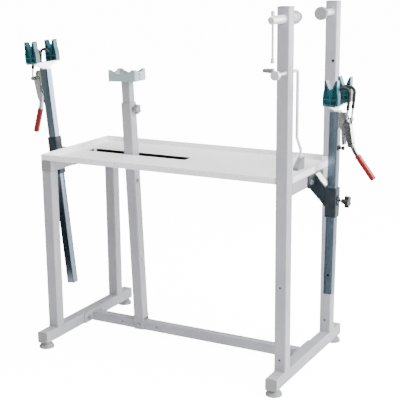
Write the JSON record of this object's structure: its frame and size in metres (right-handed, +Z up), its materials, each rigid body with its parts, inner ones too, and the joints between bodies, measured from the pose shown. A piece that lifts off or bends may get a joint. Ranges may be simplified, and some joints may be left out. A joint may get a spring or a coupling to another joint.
{
  "type": "workshop clamping stand",
  "caption": "Square-tube workshop stand with a slotted tray, a leaning saddle post, facing screw pads on tall uprights, and sliding V-block arms with hook clamps.",
  "frame": {"origin": "on the floor, midway between the two end frames and in the middle of the foot bars", "axes": "+X along the bench towards the tall uprights, +Y away from the person using it, +Z up"},
  "size_m": [1.6687, 0.734, 1.516],
  "materials": {
    "black_plastic": "moulded black plastic",
    "black_rubber": "matt black rubber",
    "bolt_steel": "zinc plated fasteners",
    "dark_paint": "satin dark slate paint",
    "frame_paint": "satin pale grey paint",
    "grey_plastic": "moulded grey plastic",
    "grip_rubber": "matt dark rubber",
    "pad_rubber": "speckled grey rubber",
    "pale_steel": "bright plated steel",
    "red_grip": "dipped red vinyl",
    "saddle_paint": "satin pale blue-grey paint",
    "teal_paint": "satin teal paint",
    "tray_paint": "speckled off-white stove enamel",
    "zinc": "bright zinc plated steel"
  },
  "bodies": {
    "frame": {"beam_left": "frame_paint", "beam_right": "frame_paint", "bracket_bolts": "bolt_steel", "bracket_left": "dark_paint", "bracket_right": "dark_paint", "bracket_tongues": "zinc", "foot_bar_left": "frame_paint", "foot_bar_right": "frame_paint", "leg_front": "frame_paint", "leg_rear": "frame_paint", "post_pivot": "bolt_steel", "rear_stub": "pale_steel", "sleeve_left": "dark_paint", "sleeve_right": "dark_paint", "spindle_bush": "pale_steel", "stretcher": "frame_paint", "stretcher_bolts": "bolt_steel", "stretcher_plates": "frame_paint", "tray": "tray_paint", "tube_caps": "grey_plastic", "upright_front": "frame_paint", "upright_rear": "frame_paint"},
    "post": {"post_tube": "frame_paint", "post_bolts": "bolt_steel"},
    "post_top": {"inner_tube": "frame_paint", "saddle": "saddle_paint"},
    "post_knob": {"post_knob": "grey_plastic"},
    "pressure_pad": {"pressure_plate": "pale_steel", "pressure_rubber": "pad_rubber"},
    "spindle": {"spindle": "pale_steel"},
    "tommy_bar": {"tommy_bar": "pale_steel"},
    "rear_pad": {"rear_pad": "pad_rubber"},
    "stop_rod": {"stop_rod": "pale_steel", "rod_hub": "pale_steel", "rod_grip": "grip_rubber", "rod_shoe": "grip_rubber"},
    "foot_front_left": {"foot_front_left": "grey_plastic"},
    "foot_front_right": {"foot_front_right": "grey_plastic"},
    "foot_rear_left": {"foot_rear_left": "grey_plastic"},
    "foot_rear_right": {"foot_rear_right": "grey_plastic"},
    "arm_left": {"arm_tube_left": "zinc", "yoke_left": "zinc", "v_blocks_left": "teal_paint", "clamp_base_left": "zinc", "bumper_left": "black_rubber"},
    "lever_left": {"clamp_lever_left": "zinc", "clamp_grip_left": "red_grip"},
    "hook_left": {"clamp_hook_left": "zinc", "hook_rubber_left": "black_rubber"},
    "star_knob_left": {"star_knob_left": "black_plastic"},
    "arm_right": {"arm_tube_right": "zinc", "yoke_right": "zinc", "v_blocks_right": "teal_paint", "clamp_base_right": "zinc", "bumper_right": "black_rubber"},
    "lever_right": {"clamp_lever_right": "zinc", "clamp_grip_right": "red_grip"},
    "hook_right": {"clamp_hook_right": "zinc", "hook_rubber_right": "black_rubber"},
    "star_knob_right": {"star_knob_right": "black_plastic"}
  },
  "joints": [
    {"name": "foot_front_left_screw", "type": "slide", "parent": "frame", "child": "foot_front_left", "axis": [0, 0, -1], "range_m": [0, 0.01]},
    {"name": "foot_front_right_screw", "type": "slide", "parent": "frame", "child": "foot_front_right", "axis": [0, 0, -1], "range_m": [0, 0.01]},
    {"name": "foot_rear_left_screw", "type": "slide", "parent": "frame", "child": "foot_rear_left", "axis": [0, 0, -1], "range_m": [0, 0.01]},
    {"name": "foot_rear_right_screw", "type": "slide", "parent": "frame", "child": "foot_rear_right", "axis": [0, 0, -1], "range_m": [0, 0.01]},
    {"name": "post_swing", "type": "hinge", "parent": "frame", "child": "post", "pos_m": [-0.269, 0.02, 0.045], "axis": [0, 1, 0], "range_deg": [-10, 14]},
    {"name": "post_extend", "type": "slide", "parent": "post", "child": "post_top", "axis": [-0.0384, 0, 0.9993], "range_m": [-0.08, 0.12]},
    {"name": "post_knob_turn", "type": "hinge", "parent": "post", "child": "post_knob", "pos_m": [-0.26742, 0.02, 1.0458], "axis": [0.9993, 0, 0.0384], "continuous": true},
    {"name": "pad_feed", "type": "slide", "parent": "frame", "child": "pressure_pad", "axis": [0, 1, 0], "range_m": [-0.031, 0]},
    {"name": "spindle_turn", "type": "hinge", "parent": "pressure_pad", "child": "spindle", "pos_m": [0.557, -0.3, 1.471], "axis": [0, 1, 0], "range_deg": [-1116, 0]},
    {"name": "tommy_slide", "type": "slide", "parent": "spindle", "child": "tommy_bar", "axis": [0, 0, 1], "range_m": [0, 0.12]},
    {"name": "rear_pad_spin", "type": "hinge", "parent": "frame", "child": "rear_pad", "pos_m": [0.557, 0.108, 1.471], "axis": [0, 1, 0], "continuous": true},
    {"name": "stop_rod_swing", "type": "hinge", "parent": "frame", "child": "stop_rod", "pos_m": [0.569, -0.245, 1.272], "axis": [0, 1, 0], "range_deg": [-100, 30]},
    {"name": "arm_right_slide", "type": "slide", "parent": "frame", "child": "arm_right", "axis": [0.0148, 0, 0.9999], "range_m": [-0.035, 0.25]},
    {"name": "lever_right_swing", "type": "hinge", "parent": "arm_right", "child": "lever_right", "pos_m": [0.70213, 0.02, 1.06035], "axis": [0, -1, 0], "range_deg": [-10, 95]},
    {"name": "hook_right_swing", "type": "hinge", "parent": "lever_right", "child": "hook_right", "pos_m": [0.71792, 0.02, 1.0629], "axis": [0, -1, 0], "range_deg": [-129, 22]},
    {"name": "arm_left_slide", "type": "slide", "parent": "frame", "child": "arm_left", "axis": [-0.1018, 0, 0.9948], "range_m": [-0.13, 0.25]},
    {"name": "lever_left_swing", "type": "hinge", "parent": "arm_left", "child": "lever_left", "pos_m": [-0.79214, 0.02, 1.16208], "axis": [0, 1, 0], "range_deg": [0, 110]},
    {"name": "hook_left_swing", "type": "hinge", "parent": "lever_left", "child": "hook_left", "pos_m": [-0.80777, 0.02, 1.15866], "axis": [0, 1, 0], "range_deg": [-149, 0]},
    {"name": "star_knob_right_turn", "type": "hinge", "parent": "frame", "child": "star_knob_right", "pos_m": [0.71526, 0.02, 0.73212], "axis": [0.9999, 0, -0.0148], "continuous": true},
    {"name": "star_knob_left_turn", "type": "hinge", "parent": "frame", "child": "star_knob_left", "pos_m": [-0.70905, 0.08, 0.76246], "axis": [0, 1, 0], "continuous": true}
  ],
  "couplings": [
    {"joint": "pad_feed", "follows": "spindle_turn", "m_per_rad": 0.0015915},
    {"joint": "hook_right_swing", "follows": "lever_right_swing", "ratio": -1.35},
    {"joint": "hook_left_swing", "follows": "lever_left_swing", "ratio": -1.35}
  ]
}
